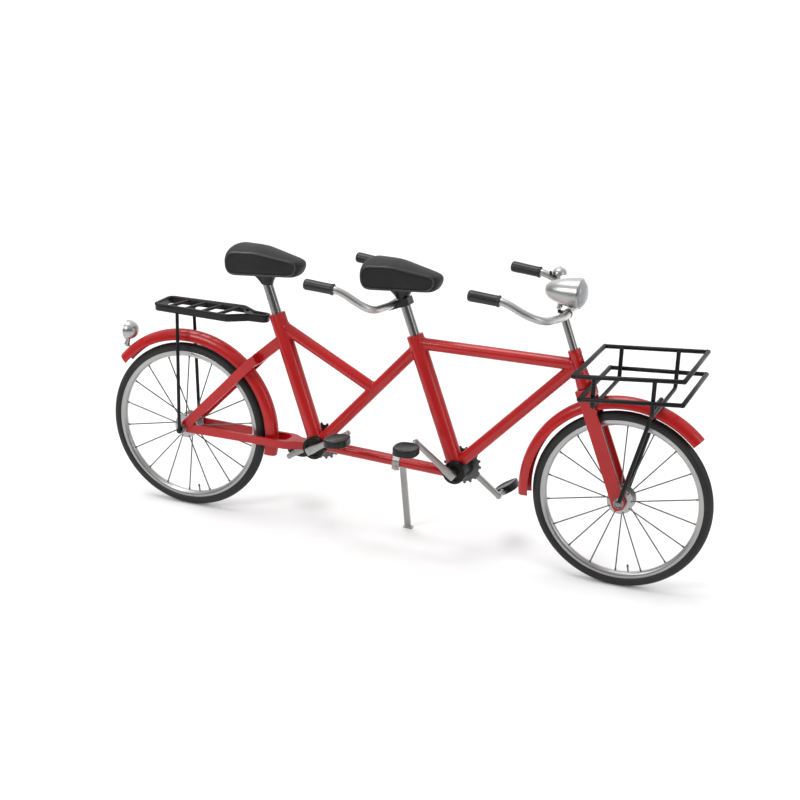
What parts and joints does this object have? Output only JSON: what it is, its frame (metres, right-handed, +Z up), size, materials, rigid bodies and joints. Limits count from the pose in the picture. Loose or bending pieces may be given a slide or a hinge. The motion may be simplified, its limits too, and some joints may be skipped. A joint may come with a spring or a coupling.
{
  "type": "tandem bicycle",
  "caption": "Red tandem roadster with mudguards, front basket frame, rear rack, lamps and a sprung bell, leaning on its side stand.",
  "frame": {"origin": "on the ground, at the middle of the leaning bike's outer box", "axes": "+X forwards, +Y to the riders' left, the side it leans to on its stand, +Z up"},
  "size_m": [2.51, 0.5968, 1.1597],
  "materials": {
    "red_paint": "gloss",
    "black_paint": "satin",
    "black_plastic": "satin",
    "saddle_vinyl": "matte",
    "tyre_rubber": "matte",
    "grip_rubber": "matte",
    "chrome": "polished",
    "satin_steel": "satin",
    "dark_steel": "satin",
    "clear_lens": "clear",
    "red_lens": "gloss"
  },
  "bodies": {
    "frame": {"head_tube": "red_paint", "top_tube": "red_paint", "down_tube": "red_paint", "captain_seat_tube": "red_paint", "stoker_seat_tube": "red_paint", "stoker_top_tube": "red_paint", "diagonal_tube": "red_paint", "boom_tube": "red_paint", "captain_bb_shell": "black_paint", "stoker_bb_shell": "black_paint", "chainstays": "red_paint", "seatstays": "red_paint", "rear_mudguard": "red_paint", "tail_lamp_housing": "chrome", "tail_lamp_lens": "red_lens", "rear_rack": "black_paint", "rack_strut_right": "black_paint", "rack_strut_left": "black_paint", "kickstand_clamp": "satin_steel", "rear_axle": "satin_steel"},
    "kickstand": {"kickstand_leg": "satin_steel"},
    "captain_seat": {"captain_seatpost": "satin_steel", "captain_saddle_bracket": "black_plastic", "captain_saddle": "saddle_vinyl", "stoker_bar_clamp": "black_plastic", "stoker_handlebar": "chrome", "stoker_grip_right": "grip_rubber", "stoker_grip_left": "grip_rubber"},
    "stoker_seat": {"stoker_seatpost": "satin_steel", "stoker_saddle_bracket": "black_plastic", "stoker_saddle": "saddle_vinyl"},
    "steering": {"fork": "red_paint", "captain_stem": "satin_steel", "captain_handlebar": "chrome", "captain_grip_right": "grip_rubber", "captain_grip_left": "grip_rubber", "front_mudguard": "red_paint", "front_axle": "satin_steel", "basket_top_frame": "black_paint", "basket_lower_frame": "black_paint", "basket_hoop_rear": "black_paint", "basket_hoop_front": "black_paint", "basket_stay": "black_paint", "headlamp_bracket": "black_paint", "bell": "chrome"},
    "headlamp": {"headlamp_housing": "chrome", "headlamp_lens": "clear_lens"},
    "bell_lever_body": {"bell_lever": "black_plastic"},
    "front_wheel_body": {"front_tyre": "tyre_rubber", "front_wheel": "chrome"},
    "rear_wheel_body": {"rear_tyre": "tyre_rubber", "rear_wheel": "chrome"},
    "captain_crankset": {"captain_crank": "satin_steel", "captain_chainring": "dark_steel"},
    "stoker_crankset": {"stoker_crank": "satin_steel", "stoker_chainring": "dark_steel"},
    "captain_pedal_right_body": {"captain_pedal_right": "black_plastic"},
    "captain_pedal_left_body": {"captain_pedal_left": "black_plastic"},
    "stoker_pedal_right_body": {"stoker_pedal_right": "black_plastic"},
    "stoker_pedal_left_body": {"stoker_pedal_left": "black_plastic"}
  },
  "joints": [
    {"name": "steering_turn", "type": "hinge", "parent": "frame", "child": "steering", "pos_m": [0.752, -0.0268, 0.71522], "axis": [-0.3659, 0.1086, 0.9243], "range_deg": [-45, 45]},
    {"name": "front_wheel_spin", "type": "hinge", "parent": "steering", "child": "front_wheel_body", "pos_m": [0.91, -0.07055, 0.34278], "axis": [0, 0.9932, -0.1167], "continuous": true},
    {"name": "rear_wheel_spin", "type": "hinge", "parent": "frame", "child": "rear_wheel_body", "pos_m": [-0.91, -0.07055, 0.34278], "axis": [0, 0.9932, -0.1167], "continuous": true},
    {"name": "captain_crank_spin", "type": "hinge", "parent": "frame", "child": "captain_crankset", "pos_m": [0.259, -0.06996, 0.34775], "axis": [0, 0.9932, -0.1167], "continuous": true},
    {"name": "stoker_crank_spin", "type": "hinge", "parent": "frame", "child": "stoker_crankset", "pos_m": [-0.332, -0.06996, 0.34775], "axis": [0, 0.9932, -0.1167], "continuous": true},
    {"name": "captain_pedal_right_spin", "type": "hinge", "parent": "captain_crankset", "child": "captain_pedal_right_body", "pos_m": [0.10987, -0.23775, 0.47938], "axis": [0, 0.9932, -0.1167], "continuous": true},
    {"name": "captain_pedal_left_spin", "type": "hinge", "parent": "captain_crankset", "child": "captain_pedal_left_body", "pos_m": [0.40813, 0.09782, 0.21611], "axis": [0, 0.9932, -0.1167], "continuous": true},
    {"name": "stoker_pedal_right_spin", "type": "hinge", "parent": "stoker_crankset", "child": "stoker_pedal_right_body", "pos_m": [-0.17426, -0.23922, 0.46687], "axis": [0, 0.9932, -0.1167], "continuous": true},
    {"name": "stoker_pedal_left_spin", "type": "hinge", "parent": "stoker_crankset", "child": "stoker_pedal_left_body", "pos_m": [-0.48974, 0.09929, 0.22862], "axis": [0, 0.9932, -0.1167], "continuous": true},
    {"name": "kickstand_fold", "type": "hinge", "parent": "frame", "child": "kickstand", "pos_m": [0.018, -0.03616, 0.30551], "axis": [0, 0.9823, 0.1874], "range_deg": [0, 78]},
    {"name": "captain_seat_slide", "type": "slide", "parent": "frame", "child": "captain_seat", "axis": [-0.3678, 0.1085, 0.9236], "range_m": [-0.06, 0.06]},
    {"name": "stoker_seat_slide", "type": "slide", "parent": "frame", "child": "stoker_seat", "axis": [-0.3483, 0.1094, 0.931], "range_m": [-0.06, 0.06]},
    {"name": "headlamp_tilt", "type": "hinge", "parent": "steering", "child": "headlamp", "pos_m": [0.616, 0.01165, 1.04247], "axis": [0, 0.9932, -0.1167], "range_deg": [-15, 3]},
    {"name": "bell_lever_press", "type": "hinge", "parent": "steering", "child": "bell_lever_body", "pos_m": [0.54, 0.2684, 1.06819], "axis": [0, 0.1167, 0.9932], "range_deg": [0, 25], "stiffness_Nm_per_rad": 0.05, "springref_deg": -11.46}
  ],
  "couplings": [
    {"joint": "stoker_crank_spin", "follows": "captain_crank_spin", "ratio": 1}
  ]
}
